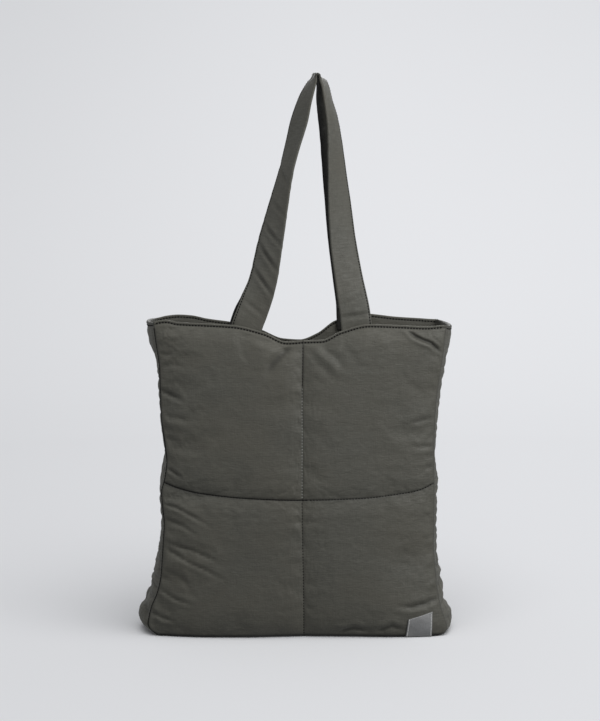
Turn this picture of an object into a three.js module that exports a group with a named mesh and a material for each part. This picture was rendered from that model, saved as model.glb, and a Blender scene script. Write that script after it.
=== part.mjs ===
// A padded shopping bag, hung up by its two handles. Two quilted panels and one gathered gusset strip make
// a body that is open at the top. Each handle is a flat folded strap that makes a quarter turn on its way
// up, and a small woven label is sewn to the foot of the front panel.
// Millimetres. Seen from the front, +X is to the right, +Y is to the back and +Z is up. The origin is the
// point that the bag hangs from, under the top folds of both handles.

import * as THREE from "three";

// Body
const hangHeight = 672; // from the base up to the point that the bag hangs from
const bodyShift = -20; // the body's middle, to the side of the hanging point
const rimHeight = 380; // the level stretches of the rim, above the base
const sideDrop = 4; // the rim's corners, below its level stretches
const halfDepth = 48; // from the body's middle to a panel's side seam
const seamGap = 0.4; // between two pieces that are sewn together

// Quilting of each panel
const seamShift = 2.5; // the upright seam, to the side of the panel's middle
const crossSeamShare = 0.489; // the cross seam's place between the base and the rim
const crossSeamSag = 12; // how far the filling pulls the cross seam down in its middle
const hemThickness = 2.4; // a panel where it is sewn through
const padOut = 7; // how far the filling stands out of a quilted cell, and into the bag
const padIn = 2.5;
const stitchPinch = 16; // how far from a seam the filling reaches most of its height
const edgePinch = 18;
const rimPinch = 14;

// Gusset
const gussetThickness = 2.4; // at its seams
const gussetPad = 2.6; // added in its middle
const baseThickness = 4;
const gatherPitch = 8; // from a gather's ridge to the hollow beside it
const gatherDepth = 2.4;
const cornerTop = 14; // the gathers end at this height above the base

// Handles
const strapWidth = 36.5;
const strapEdge = 2.2; // thickness along the strap's edges
const strapCrown = 0.5; // each face stands this much higher in its middle
const pegRadius = 2.6; // the folds hang over a peg of this radius
const strapTail = 20; // sewn inside the bag, below the rim
const handleSpacing = 40; // between the middles of the two handles where they hang

// Label
const labelAcross = 127; // its nearer edge, from the body's middle
const labelWidth = 30;
const labelThickness = 1;
const labelFoot = 0.8; // the label's lower edge above the base
const labelHeights = { inner: 21, outer: 30 }; // its slanting upper edge

// Mesh steps
const halfColumns = 13; // across each half of a panel
const lowerRows = 11; // below and above the cross seam
const upperRows = 13;
const gussetColumns = 5;
const baseSteps = 12;
const strapColumns = 4;
const strapStepsPerRow = 3;

// The body's outline, from the base up: from the body's middle to the left and right side seams, how far
// the gusset's middle stands out past each seam, and how far a panel's middle bows out past its seams.
const outline = [
  { height: 0, left: 168, right: 162, leftOut: 0, rightOut: 0, bow: 0 },
  { height: 3, left: 179, right: 173, leftOut: 2.5, rightOut: 2, bow: 1.5 },
  { height: 8, left: 183, right: 177.5, leftOut: 8, rightOut: 6, bow: 4 },
  { height: 14, left: 182, right: 176, leftOut: 12, rightOut: 9, bow: 6 },
  { height: 30, left: 177.5, right: 170.5, leftOut: 14, rightOut: 11, bow: 9 },
  { height: 50, left: 170, right: 165, leftOut: 12.5, rightOut: 8, bow: 12 },
  { height: 75, left: 165.3, right: 160, leftOut: 9, rightOut: 8, bow: 14 },
  { height: 110, left: 163.3, right: 158.6, leftOut: 6, rightOut: 5.5, bow: 16 },
  { height: 160, left: 163.6, right: 160.5, leftOut: 1.5, rightOut: 4, bow: 17 },
  { height: 190, left: 161.2, right: 160.2, leftOut: 4, rightOut: 5, bow: 17.5 },
  { height: 220, left: 159.8, right: 157.9, leftOut: 2.5, rightOut: 5, bow: 18 },
  { height: 250, left: 161.6, right: 159.7, leftOut: 1.5, rightOut: 5.5, bow: 18 },
  { height: 300, left: 163.8, right: 162.4, leftOut: 4, rightOut: 7.5, bow: 17 },
  { height: 350, left: 168, right: 169.6, leftOut: 8.5, rightOut: 9.5, bow: 14 },
  { height: 380, left: 171.5, right: 173, leftOut: 13, rightOut: 10.5, bow: 11 },
];

// The rim of each panel from left to right, above or below its level stretches.
const rim = [
  { across: -172, front: -sideDrop, back: -sideDrop },
  { across: -145, front: 2, back: 2.5 },
  { across: -112, front: 0, back: -2 },
  { across: -80, front: -1.5, back: -7 },
  { across: -45, front: -10, back: -17 },
  { across: -18, front: -18.5, back: -28 },
  { across: 3, front: -21, back: -32 },
  { across: 24, front: -17.5, back: -21 },
  { across: 47, front: -7.5, back: -5 },
  { across: 80, front: 0, back: 4 },
  { across: 123, front: 0.5, back: 0.5 },
  { across: 150, front: -1.5, back: -2 },
  { across: 172, front: -sideDrop, back: -sideDrop },
];

// The front panel's main folds: where each starts and ends, across from the body's middle and up from the
// base, then its half width and its depth.
const frontFolds = [
  { fromX: 128, fromZ: 378, toX: 170, toZ: 340, reach: 9, depth: 5 },
  { fromX: 8, fromZ: 350, toX: 46, toZ: 318, reach: 9, depth: 3 },
  { fromX: -6, fromZ: 350, toX: -40, toZ: 322, reach: 9, depth: 3 },
  { fromX: -160, fromZ: 292, toX: -128, toZ: 278, reach: 9, depth: 3 },
  { fromX: -160, fromZ: 152, toX: -108, toZ: 118, reach: 10, depth: 3.5 },
  { fromX: -160, fromZ: 116, toX: -92, toZ: 84, reach: 10, depth: 3.5 },
  { fromX: -170, fromZ: 44, toX: -118, toZ: 18, reach: 9, depth: 3 },
  { fromX: 166, fromZ: 50, toX: 118, toZ: 36, reach: 9, depth: 3.5 },
];

// The legs of a handle, from the rim's level up to the fold: how far each row stands across from the body's
// middle, how far the strap is turned about its own length in degrees, and how far the back handle's strap
// stands across from the front one's.
const leftLeg = [
  { rise: 0, across: -60, turn: 3, backShift: 1.5 },
  { rise: 14, across: -56, turn: 7, backShift: 2 },
  { rise: 49, across: -45.5, turn: 26, backShift: 2.5 },
  { rise: 96, across: -35.5, turn: 35, backShift: 2 },
  { rise: 144, across: -24.5, turn: 52, backShift: 2 },
  { rise: 191, across: -12.5, turn: 60, backShift: 2 },
  { rise: 238, across: -0.5, turn: 64, backShift: 2 },
  { rise: 262, across: 6, turn: 69, backShift: 1 },
  { rise: 284, across: 14.4, turn: 84, backShift: 0 },
];
const rightLeg = [
  { rise: 0, across: 65, turn: 3, backShift: 1 },
  { rise: 14, across: 63.5, turn: 15, backShift: 1 },
  { rise: 49, across: 58, turn: 31, backShift: 0 },
  { rise: 96, across: 51.5, turn: 39, backShift: -1 },
  { rise: 144, across: 47.5, turn: 49, backShift: -3 },
  { rise: 191, across: 43.2, turn: 61, backShift: -5 },
  { rise: 238, across: 39, turn: 71, backShift: -6 },
  { rise: 262, across: 33, turn: 75, backShift: -4 },
  { rise: 284, across: 25.8, turn: 85, backShift: 0 },
];
const foldAngles = [162, 126, 90, 54, 18]; // round the peg, from the left leg to the right one

// Finishes
const fabric = { color: 0x50514b, roughness: 0.72, metalness: 0 };
const strapFabric = { color: 0x57574f, roughness: 0.7, metalness: 0 };
const labelWeave = { color: 0x64676a, roughness: 0.6, metalness: 0 };

// A column of a table, read at any place between its rows on a smooth curve that never overshoots them.
function readTable(table, key, at, column) {
  const last = table.length - 1;
  const slope = (i) => (table[i + 1][column] - table[i][column]) / (table[i + 1][key] - table[i][key]);
  const tangent = (i) => {
    if (i === 0 || i === last) return slope(Math.min(i, last - 1));
    const before = slope(i - 1);
    const after = slope(i);
    return before * after <= 0 ? 0 : (2 * before * after) / (before + after);
  };
  const place = THREE.MathUtils.clamp(at, table[0][key], table[last][key]);
  const i = Math.min(
    table.findLastIndex((row) => row[key] <= place),
    last - 1,
  );
  const span = table[i + 1][key] - table[i][key];
  const t = (place - table[i][key]) / span;
  const ease = t * t * (3 - 2 * t);
  return (
    THREE.MathUtils.lerp(table[i][column], table[i + 1][column], ease) +
    span * t * (1 - t) * (tangent(i) * (1 - t) - tangent(i + 1) * t)
  );
}

const outlineAt = (height, column) => readTable(outline, "height", height, column);

// 0 at a seam, rising to 1 at about twice the pinch away from it.
const fullness = (distance, pinch) => 1 - Math.exp(-((distance / pinch) ** 2));

// Steps from 0 to 1 that are closer together at both ends.
const closeAtEnds = (step, steps) => (1 - Math.cos((Math.PI * step) / steps)) / 2;

// A closed solid between two faces of the same grid. place(column, row, face) gives a point of the face,
// "outer" or "inner".
function solidBetween(columns, rows, place, turnedOver) {
  const points = [];
  const triangles = [];
  const stride = columns + 1;
  const innerStart = stride * (rows + 1);
  for (const face of ["outer", "inner"]) {
    for (let row = 0; row <= rows; row++) {
      for (let column = 0; column <= columns; column++) points.push(...place(column, row, face).toArray());
    }
  }
  const quad = (a, b, c, d) => {
    if (turnedOver) triangles.push(a, c, b, a, d, c);
    else triangles.push(a, b, c, a, c, d);
  };
  const outer = (column, row) => row * stride + column;
  const inner = (column, row) => innerStart + outer(column, row);
  for (let row = 0; row < rows; row++) {
    for (let column = 0; column < columns; column++) {
      quad(outer(column, row), outer(column + 1, row), outer(column + 1, row + 1), outer(column, row + 1));
      quad(inner(column, row), inner(column, row + 1), inner(column + 1, row + 1), inner(column + 1, row));
    }
    quad(outer(0, row), outer(0, row + 1), inner(0, row + 1), inner(0, row));
    quad(outer(columns, row), inner(columns, row), inner(columns, row + 1), outer(columns, row + 1));
  }
  for (let column = 0; column < columns; column++) {
    quad(outer(column, 0), inner(column, 0), inner(column + 1, 0), outer(column + 1, 0));
    quad(outer(column, rows), outer(column + 1, rows), inner(column + 1, rows), inner(column, rows));
  }
  const geometry = new THREE.BufferGeometry();
  geometry.setAttribute("position", new THREE.Float32BufferAttribute(points, 3));
  geometry.setIndex(triangles);
  geometry.computeVertexNormals();
  return geometry;
}

// How deep the folds of a table press in at a place on a panel.
function foldDepth(folds, across, height) {
  let depth = 0;
  for (const fold of folds) {
    const run = new THREE.Vector2(fold.toX - fold.fromX, fold.toZ - fold.fromZ);
    const offset = new THREE.Vector2(across - fold.fromX, height - fold.fromZ);
    const along = offset.dot(run) / run.lengthSq();
    const aside = offset.cross(run) / run.length();
    const start = THREE.MathUtils.smoothstep(along, -0.15, 0.2);
    const end = THREE.MathUtils.smoothstep(along, 0.6, 1.15);
    depth += fold.depth * start * (1 - end) * Math.exp(-((aside / fold.reach) ** 2));
  }
  return depth;
}

// The form of a panel, in the body's own frame with its origin in the base's middle. A place on the panel is
// its share of the half width, -1 to 1, and of the rim's height, 0 to 1. The function that this gives back
// finds the outer or inner face there: across, height, and away from the body's middle with a lift added.
function panelForm(rimColumn, folds) {
  const halfWidth = (acrossShare, height) => outlineAt(height, acrossShare < 0 ? "left" : "right");
  const rimAt = (acrossShare) =>
    rimHeight + readTable(rim, "across", acrossShare * halfWidth(acrossShare, rimHeight), rimColumn);
  const heightAt = (acrossShare, upShare) =>
    upShare * rimAt(acrossShare) - crossSeamSag * Math.sin(Math.PI * upShare) * (1 - acrossShare ** 2);

  return (acrossShare, upShare, face, lift) => {
    const width = halfWidth(acrossShare, upShare * rimHeight);
    const across = acrossShare * width;
    const height = heightAt(acrossShare, upShare);
    const full =
      fullness(across - seamShift, stitchPinch) *
      fullness(height - heightAt(acrossShare, crossSeamShare), stitchPinch) *
      fullness(width - Math.abs(across), edgePinch) *
      fullness(height, edgePinch) *
      fullness(rimAt(acrossShare) - height, rimPinch);
    const bow = outlineAt(upShare * rimHeight, "bow") * (1 - acrossShare ** 2);
    const outer = hemThickness + Math.max(padOut * full - foldDepth(folds, across, height), 0);
    return { across, height, away: halfDepth + bow + (face === "outer" ? outer : -padIn * full) + lift };
  };
}

const frontForm = panelForm("front", frontFolds);
const backForm = panelForm("back", []);

function panel(name, facing, form) {
  const columnShare = (column) => {
    const middle = seamShift / outlineAt(rimHeight, "right");
    if (column <= halfColumns) return THREE.MathUtils.lerp(-1, middle, closeAtEnds(column, halfColumns));
    return THREE.MathUtils.lerp(middle, 1, closeAtEnds(column - halfColumns, halfColumns));
  };
  const rowShare = (row) => {
    if (row <= lowerRows) return crossSeamShare * closeAtEnds(row, lowerRows);
    return THREE.MathUtils.lerp(crossSeamShare, 1, closeAtEnds(row - lowerRows, upperRows));
  };
  const place = (column, row, face) => {
    const { across, height, away } = form(columnShare(column), rowShare(row), face, 0);
    return new THREE.Vector3(across, facing * away, height);
  };
  return named(name, solidBetween(2 * halfColumns, lowerRows + upperRows, place, facing > 0), fabric);
}

// Gusset. Its stations run down the left side seam, along the base and up the right side seam.

function gussetStations() {
  const steps = 2 * Math.round((rimHeight - cornerTop) / (2 * gatherPitch));
  const levels = [];
  for (let step = 0; step <= steps; step++) {
    const height = THREE.MathUtils.lerp(rimHeight - sideDrop, cornerTop, step / steps);
    const depth = gatherDepth * (0.75 + 0.25 * Math.sin(1.7 * step));
    levels.push({ height, gather: step % 2 ? depth : 0, thickness: gussetThickness + gussetPad });
  }
  for (const { height } of outline.filter((row) => row.height < cornerTop).reverse()) {
    levels.push({ height, gather: 0, thickness: height > 0 ? gussetThickness + gussetPad : baseThickness });
  }
  const left = levels.map((level) => ({
    ...level,
    across: -outlineAt(level.height, "left"),
    standOut: outlineAt(level.height, "leftOut"),
  }));
  const right = levels.map((level) => ({
    ...level,
    across: outlineAt(level.height, "right"),
    standOut: outlineAt(level.height, "rightOut"),
  }));
  const base = [];
  for (let step = 1; step < baseSteps; step++) {
    const across = THREE.MathUtils.lerp(-outline[0].left, outline[0].right, step / baseSteps);
    base.push({ across, height: 0, standOut: 0, gather: 0, thickness: baseThickness });
  }
  return [...left, ...base, ...right.reverse()];
}

function gusset() {
  const stations = gussetStations();
  const last = stations.length - 1;
  const outward = stations.map((_, i) => {
    const before = stations[Math.max(i - 1, 0)];
    const after = stations[Math.min(i + 1, last)];
    return new THREE.Vector2(after.height - before.height, before.across - after.across).normalize();
  });
  const place = (column, row, face) => {
    const station = stations[row];
    const share = (2 * column) / gussetColumns - 1;
    const middle = 1 - share ** 2;
    const rise = station.standOut * middle + station.gather * (0.35 + 0.65 * middle);
    const wall = THREE.MathUtils.lerp(gussetThickness, station.thickness, middle);
    const out = face === "outer" ? rise : rise - wall;
    const away = share * (halfDepth - seamGap);
    const across = station.across + outward[row].x * out;
    return new THREE.Vector3(across, away, station.height + outward[row].y * out);
  };
  return named("gusset", solidBetween(gussetColumns, last, place, false), fabric);
}

// Handles. The rows run up the left leg, over the fold and down the right leg.

function handleRows(back) {
  const rimZ = rimHeight - hangHeight;
  const thickness = strapEdge + 2 * strapCrown;
  const hangAway = handleSpacing / 2;
  const rootAway = (leg) => {
    const share = leg[0].across / outlineAt(rimHeight, "right");
    const wall = halfDepth + outlineAt(rimHeight, "bow") * (1 - share ** 2);
    return wall - thickness / 2 - 3 * seamGap;
  };
  const legRow = (leg, row) => ({
    x: bodyShift + row.across + (back ? row.backShift : 0),
    away: THREE.MathUtils.lerp(rootAway(leg), hangAway, row.rise / -rimZ),
    z: rimZ + row.rise,
    turn: row.turn,
  });
  const legRows = (leg) => {
    const rows = leg.map((row) => legRow(leg, row));
    return [{ ...rows[0], z: rimZ - strapTail }, ...rows];
  };
  const foldRow = (degrees) => {
    const angle = THREE.MathUtils.degToRad(degrees);
    const radius = pegRadius + thickness / 2;
    const z = radius * Math.sin(angle) - pegRadius;
    return { x: radius * Math.cos(angle), away: hangAway, z, turn: 90 };
  };
  return [...legRows(leftLeg), ...foldAngles.map(foldRow), ...legRows(rightLeg).reverse()];
}

function handle(name, facing) {
  const rows = handleRows(facing > 0);
  const path = new THREE.CatmullRomCurve3(rows.map((row) => new THREE.Vector3(row.x, -row.away, row.z)));
  const turns = new THREE.CatmullRomCurve3(rows.map((row) => new THREE.Vector3(row.turn, 0, 0)));
  const steps = strapStepsPerRow * (rows.length - 1);
  const place = (column, row, face) => {
    const at = row / steps;
    const turn = THREE.MathUtils.degToRad(turns.getPoint(at).x);
    const along = path.getTangent(at);
    const outerEdge = new THREE.Vector3(-along.z, 0, along.x).normalize();
    const inwards = new THREE.Vector3().crossVectors(outerEdge, along);
    const across = outerEdge.clone().multiplyScalar(Math.cos(turn)).addScaledVector(inwards, Math.sin(turn));
    const normal = outerEdge.clone().multiplyScalar(Math.sin(turn)).addScaledVector(inwards, -Math.cos(turn));
    const share = (2 * column) / strapColumns - 1;
    const half = strapEdge / 2 + strapCrown * (1 - share ** 2);
    const point = path.getPoint(at).addScaledVector(across, (share * strapWidth) / 2);
    point.addScaledVector(normal, face === "outer" ? half : -half);
    return new THREE.Vector3(point.x, -facing * point.y, point.z);
  };
  return named(name, solidBetween(strapColumns, steps, place, facing < 0), strapFabric);
}

// Label, laid on the outer face of the front panel.
function label() {
  const steps = 3;
  const place = (column, row, face) => {
    const share = column / steps;
    const top = THREE.MathUtils.lerp(labelHeights.inner, labelHeights.outer, share);
    const height = THREE.MathUtils.lerp(labelFoot, top, row / steps);
    const lift = 2 * seamGap + (face === "outer" ? labelThickness : 0);
    const acrossShare = (labelAcross + share * labelWidth) / outlineAt(height, "right");
    const point = frontForm(acrossShare, height / rimHeight, "outer", lift);
    return new THREE.Vector3(point.across, -point.away, point.height);
  };
  return named("label", solidBetween(steps, steps, place, false), labelWeave);
}

function named(name, geometry, finish) {
  const mesh = new THREE.Mesh(geometry, new THREE.MeshStandardMaterial(finish));
  mesh.name = name;
  return mesh;
}

const body = new THREE.Group();
body.position.set(bodyShift, 0, -hangHeight);
body.add(panel("front_panel", -1, frontForm), panel("back_panel", 1, backForm), gusset(), label());

const bag = new THREE.Group();
bag.add(body, handle("front_handle", -1), handle("back_handle", 1));

export default bag;
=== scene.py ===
from math import cos, pi, radians, sin

import bpy
import numpy as np
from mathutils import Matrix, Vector


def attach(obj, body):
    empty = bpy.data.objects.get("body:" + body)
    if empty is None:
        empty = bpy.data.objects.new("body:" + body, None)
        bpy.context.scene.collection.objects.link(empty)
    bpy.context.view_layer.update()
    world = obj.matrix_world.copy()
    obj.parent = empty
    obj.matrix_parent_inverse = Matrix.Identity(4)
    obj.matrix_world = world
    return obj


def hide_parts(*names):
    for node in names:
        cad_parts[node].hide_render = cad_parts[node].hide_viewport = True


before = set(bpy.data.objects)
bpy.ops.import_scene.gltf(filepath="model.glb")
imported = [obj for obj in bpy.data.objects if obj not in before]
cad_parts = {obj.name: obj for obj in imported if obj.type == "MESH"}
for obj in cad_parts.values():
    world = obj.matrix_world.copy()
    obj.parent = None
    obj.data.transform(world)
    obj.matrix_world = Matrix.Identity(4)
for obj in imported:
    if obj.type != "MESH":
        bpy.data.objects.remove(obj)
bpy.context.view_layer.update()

scene = bpy.context.scene
mm = 0.001


def tableOf(columns, rows):
    values = np.array(rows, float) * mm
    return {name: values[:, i] for i, name in enumerate(columns.split())}


# the sewn body that every piece is fitted to; table rows are in millimetres
bag = {
    "hangHeight": 672 * mm,  # base up to the hanging point, which is the origin
    "middle": -20 * mm,  # the body stands a little left of the hanging point
    "rimHeight": 380 * mm,
    "sideDrop": 4 * mm,
    "halfDepth": 48 * mm,
    "footHeight": 110 * mm,  # up to where the foot's step fades out
    # how far the front edge of the foot is off the floor and stands forward
    "foot": tableOf("across lift step", [
        (-184, 2.6, -10), (-163, 2.4, -8), (-144, 1.4, -4), (-115, 0.5, 0.5), (-60, 0.1, 2.5), (-20, 0.9, 0.5),
        (0, 1.1, 0), (20, 0.9, 0.8), (51, 0.4, 3), (79, 0.1, 6), (110, 0.3, 9), (137, 0.1, 8),
        (160, 0.5, 6), (176, 1.2, 3),
    ]),
    "outline": tableOf("height left right leftOut rightOut bow", [
        (0, 172, 165, 0, 0, 0),
        (3, 177, 173, 1.5, 6, 1.2),
        (8, 182, 176, 7, 9.5, 2.8),
        (14, 184.4, 175, 11, 11, 4.4),
        (24, 183, 171.5, 11.5, 9.6, 6.6),
        (35, 180, 168.3, 7.6, 6, 8.7),
        (50, 173.5, 165, 8, 8.6, 11),
        (70, 168.6, 162.6, 8.8, 8.8, 13.4),
        (90, 166.8, 160.7, 7, 5.5, 15),
        (107, 165.7, 159.4, 6.3, 6, 16),
        (132, 164.2, 159.9, 2.3, 5.6, 17),
        (166, 167.1, 160, 1.2, 6.3, 17.6),
        (185, 162.8, 159.6, 5, 7.5, 17.8),
        (207, 160.5, 159.4, 4.8, 5.5, 18),
        (227, 162.4, 159.4, -0.3, 7, 18),
        (268, 167.1, 160.6, -0.8, 6, 17.6),
        (298, 167.8, 163, 1.4, 7.5, 16.6),
        (325, 168.6, 166.8, 2.6, 8, 15.2),
        (352, 172, 170.4, 7.5, 9.2, 13.4),
        (380, 175.5, 172.5, 10.4, 13, 11),
    ]),
    "rim": tableOf("across front back", [
        (-176, 1, -4),
        (-170, 3.5, -3),
        (-161, 4.5, -1),
        (-147, 2, 0.2),
        (-130, 1.2, -1),
        (-112, 0.5, -5),
        (-80, -1.5, -10),
        (-45, -10, -19.5),
        (-18, -20.8, -30.5),
        (3, -19.6, -32),
        (24, -19, -24.5),
        (47, -8.8, -8.5),
        (80, -1, 0),
        (123, -3, -4),
        (150, -4.5, -5.5),
        (168, -3.5, -6.5),
        (173, -4, -6.5),
    ]),
}


# a table's column read on a smooth curve that never overshoots its rows
def readTable(table, key, at, column):
    x, y = table[key], table[column]
    slope = np.diff(y) / np.diff(x)
    lean = np.concatenate([slope[:1], np.zeros(len(x) - 2), slope[-1:]])
    same = slope[:-1] * slope[1:] > 0
    lean[1:-1][same] = 2 * (slope[:-1] * slope[1:])[same] / (slope[:-1] + slope[1:])[same]
    at = np.clip(at, x[0], x[-1])
    i = np.clip(np.searchsorted(x, at, side="right") - 1, 0, len(x) - 2)
    span = x[i + 1] - x[i]
    t = (at - x[i]) / span
    curve = span * t * (1 - t) * (lean[i] * (1 - t) - lean[i + 1] * t)
    return y[i] + (y[i + 1] - y[i]) * t * t * (3 - 2 * t) + curve


def outlineAt(height, column):
    return readTable(bag["outline"], "height", height, column)


def ease(low, high, value):
    t = np.clip((value - low) / (high - low), 0, 1)
    return t * t * (3 - 2 * t)


def bump(distance, reach):
    return np.exp(-((distance / reach) ** 2))


def footStep(across, height):
    return readTable(bag["foot"], "across", across, "step") * (1 - ease(0, bag["footHeight"], height))


latticeSize = 97


# soft noise between -1 and 1 on a seeded lattice
def softNoise(x, y, seed):
    lattice = np.random.default_rng(seed).uniform(-1, 1, (latticeSize, latticeSize))
    i, j = np.floor(x).astype(int), np.floor(y).astype(int)
    s, t = x - i, y - j
    s, t = s * s * (3 - 2 * s), t * t * (3 - 2 * t)

    def corner(right, up):
        return lattice[(i + right) % latticeSize, (j + up) % latticeSize]

    low = corner(0, 0) * (1 - s) + corner(1, 0) * s
    high = corner(0, 1) * (1 - s) + corner(1, 1) * s
    return low * (1 - t) + high * t


# the same grid with twice the squares, on cubic curves through its points
def finer(grid):
    for axis in (0, 1):
        g = np.moveaxis(grid, axis, 0)
        ends = np.concatenate([2 * g[:1] - g[1:2], g, 2 * g[-1:] - g[-2:-1]])
        out = np.empty((2 * len(g) - 1,) + g.shape[1:])
        out[::2] = g
        out[1::2] = (9 * (ends[1:-2] + ends[2:-1]) - ends[:-3] - ends[3:]) / 16
        grid = np.moveaxis(out, 0, axis)
    return grid


def blurred(grid, reach):
    half = 3 * reach
    weights = bump(np.arange(-half, half + 1), reach)
    weights /= weights.sum()
    for axis in (0, 1):
        g = np.moveaxis(grid, axis, 0)
        low, high = 2 * g[:1] - g[half:0:-1], 2 * g[-1:] - g[-2:-half - 2:-1]
        g = sum(w * np.concatenate([low, g, high])[k:k + len(g)] for k, w in enumerate(weights))
        grid = np.moveaxis(g, 0, axis)
    return grid


def unit(vectors):
    return vectors / (np.linalg.norm(vectors, axis=-1, keepdims=True) + 1e-12)


def toFrame(across, away, height):
    return np.stack([across + bag["middle"], away, height - bag["hangHeight"]], -1)


def newMesh(name, points, faces):
    mesh = bpy.data.meshes.new(name)
    mesh.from_pydata(points.reshape(-1, 3).tolist(), [], faces.tolist())
    mesh.polygons.foreach_set("use_smooth", np.ones(len(mesh.polygons), bool))
    return mesh


def addObject(name, data):
    added = bpy.data.objects.new(name, data)
    scene.collection.objects.link(added)
    return added


# a closed piece from points and faces of four corners, turned right side out
def newPiece(name, points, faces, cloth, worn=None, shade=None):
    a, b, c, d = (points[faces[:, k]] for k in range(4))
    volume = np.sum(np.cross(b - a, c - a) * a) + np.sum(np.cross(c - a, d - a) * a)
    if volume < 0:
        faces = faces[:, ::-1]
    mesh = newMesh(name, points, faces)
    corners = np.empty(len(mesh.loops), np.int32)
    mesh.loops.foreach_get("vertex_index", corners)
    mesh.uv_layers.new(name="cloth").data.foreach_set("uv", cloth[corners].ravel())
    # worn lightens rubbed cloth; shade carries painted shade into the colour
    for word, values in (("worn", worn), ("shade", shade)):
        values = np.zeros(len(points)) if values is None else np.clip(values, 0, 1)
        mesh.attributes.new(word, "FLOAT", "POINT").data.foreach_set("value", values)
    mesh.update()
    return addObject(name, mesh)


def gridIds(grid):
    return np.arange(grid[..., 0].size).reshape(grid.shape[:2])


def gridFaces(ids):
    return np.stack([ids[:-1, :-1], ids[:-1, 1:], ids[1:, 1:], ids[1:, :-1]], -1).reshape(-1, 4)


# outer and inner cloth joined round all four edges; cloth holds each point's place on the flat cut
def shell(name, outer, inner, cloth, worn, shade):
    ids = gridIds(outer)
    far = ids.size
    ring = np.concatenate([ids[0, :-1], ids[:-1, -1], ids[-1, :0:-1], ids[:0:-1, 0]])
    after = np.roll(ring, -1)
    sides = np.stack([after, ring, ring + far, after + far], -1)
    faces = np.concatenate([gridFaces(ids), gridFaces(ids)[:, ::-1] + far, sides])
    points = np.concatenate([outer.reshape(-1, 3), inner.reshape(-1, 3)])
    flat = np.concatenate([cloth.reshape(-1, 2)] * 2)
    worn, shade = (np.concatenate([values.ravel()] * 2) for values in (worn, shade))
    return newPiece(name, points, faces, flat, worn, shade)


def gridNormals(grid):
    return unit(np.cross(np.gradient(grid, axis=1), np.gradient(grid, axis=0)))


def travelAlong(path):
    return np.concatenate([[0], np.cumsum(np.linalg.norm(np.diff(path, axis=0), axis=1))])


def readPath(at, travel, path):
    return np.stack([np.interp(at, travel, path[:, k]) for k in range(3)], -1)


rollAngles = (28, 56, 80)  # degrees round a folded rim


# rows that carry the outer and inner cloth over the top edge in a round fold
def rolledEdge(outer, inner, last):
    pick, beside = (-1, -3) if last else (0, 2)
    middle, half = (outer[pick] + inner[pick]) / 2, (outer[pick] - inner[pick]) / 2
    up = unit(outer[pick] - outer[beside] + inner[pick] - inner[beside])
    radius = np.linalg.norm(half, axis=-1, keepdims=True)
    turns = [(cos(radians(a)), sin(radians(a))) for a in rollAngles]
    rolled = []
    for cloth, side in ((outer, half), (inner, -half)):
        rows = np.stack([middle + side * c + up * radius * s for c, s in turns])
        rolled.append(np.concatenate([cloth, rows] if last else [rows[::-1], cloth]))
    return rolled


def carriedOut(grid, last):
    more = np.repeat(grid[-1:] if last else grid[:1], len(rollAngles), axis=0)
    return np.concatenate([grid, more] if last else [more, grid])


# how all the nylon behaves while it settles
clothPhysics = {
    "quality": 7,
    "mass": 0.002,
    "tension_stiffness": 30,
    "compression_stiffness": 30,
    "shear_stiffness": 10,
    "tension_damping": 4,
    "compression_damping": 4,
    "air_damping": 1,
    "use_pressure": True,
}


# lets a sheet that is sewn down along its pins buckle where it has slack, and gives back its points
def settleCloth(name, grid, pins, slack, cloth):
    ids = gridIds(grid)
    mesh = newMesh(name, grid, gridFaces(ids))
    sheet = addObject(name, mesh)
    sheet.vertex_groups.new(name="sewn").add(ids[pins].tolist(), 1, "REPLACE")
    taut = sheet.vertex_groups.new(name="taut")
    for i, share in enumerate(slack.ravel().tolist()):
        taut.add([i], 1 - share, "REPLACE")
    modifier = sheet.modifiers.new("cloth", "CLOTH")
    settings = modifier.settings
    for key, value in clothPhysics.items():
        setattr(settings, key, value)
    settings.bending_stiffness = cloth["stiffness"]
    settings.uniform_pressure_force = cloth["pressure"]
    settings.vertex_group_mass = "sewn"
    settings.vertex_group_shrink = "taut"
    settings.shrink_min = -cloth["slack"]
    settings.shrink_max = 0
    settings.effector_weights.gravity = 0
    modifier.collision_settings.use_collision = False
    modifier.collision_settings.use_self_collision = False
    modifier.point_cache.frame_start, modifier.point_cache.frame_end = 1, cloth["frames"]
    for number in range(1, cloth["frames"] + 1):
        scene.frame_set(number)
    settled = sheet.evaluated_get(bpy.context.evaluated_depsgraph_get()).to_mesh()
    points = np.empty(grid.size)
    settled.vertices.foreach_get("co", points)
    sheet.to_mesh_clear()
    bpy.data.objects.remove(sheet)
    bpy.data.meshes.remove(mesh)
    scene.frame_set(1)
    return points.reshape(grid.shape)


# the small wrinkles in how far a settled sheet moved, without its broad swell
def wrinklesIn(name, moved, cloth):
    wrinkles = np.clip(moved - blurred(moved, cloth["blur"]), -cloth["limit"], cloth["limit"])
    print(f"{name}: settled cloth moved {np.abs(moved).max() / mm:.1f} mm, wrinkles {wrinkles.std() / mm:.2f} mm")
    return wrinkles


# a material, a maker of its nodes and a setter of its surface; a socket takes a value or another node's output
def newMaterial(name):
    material = bpy.data.materials.new(name)
    material.use_nodes = True
    tree = material.node_tree

    def fill(node, sockets):
        for key, value in sockets.items():
            if isinstance(value, bpy.types.NodeSocket):
                tree.links.new(value, node.inputs[key])
            else:
                node.inputs[key].default_value = value

    def add(kind, sockets, **settings):
        node = tree.nodes.new("ShaderNode" + kind)
        for key, value in settings.items():
            setattr(node, key, value)
        fill(node, sockets)
        return node.outputs

    return material, add, lambda sockets: fill(tree.nodes["Principled BSDF"], sockets)


rangeSockets = ("Value", "From Min", "From Max", "To Min", "To Max")


def opaque(colour, amount=1):
    return (*(amount * c for c in colour), 1)


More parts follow.
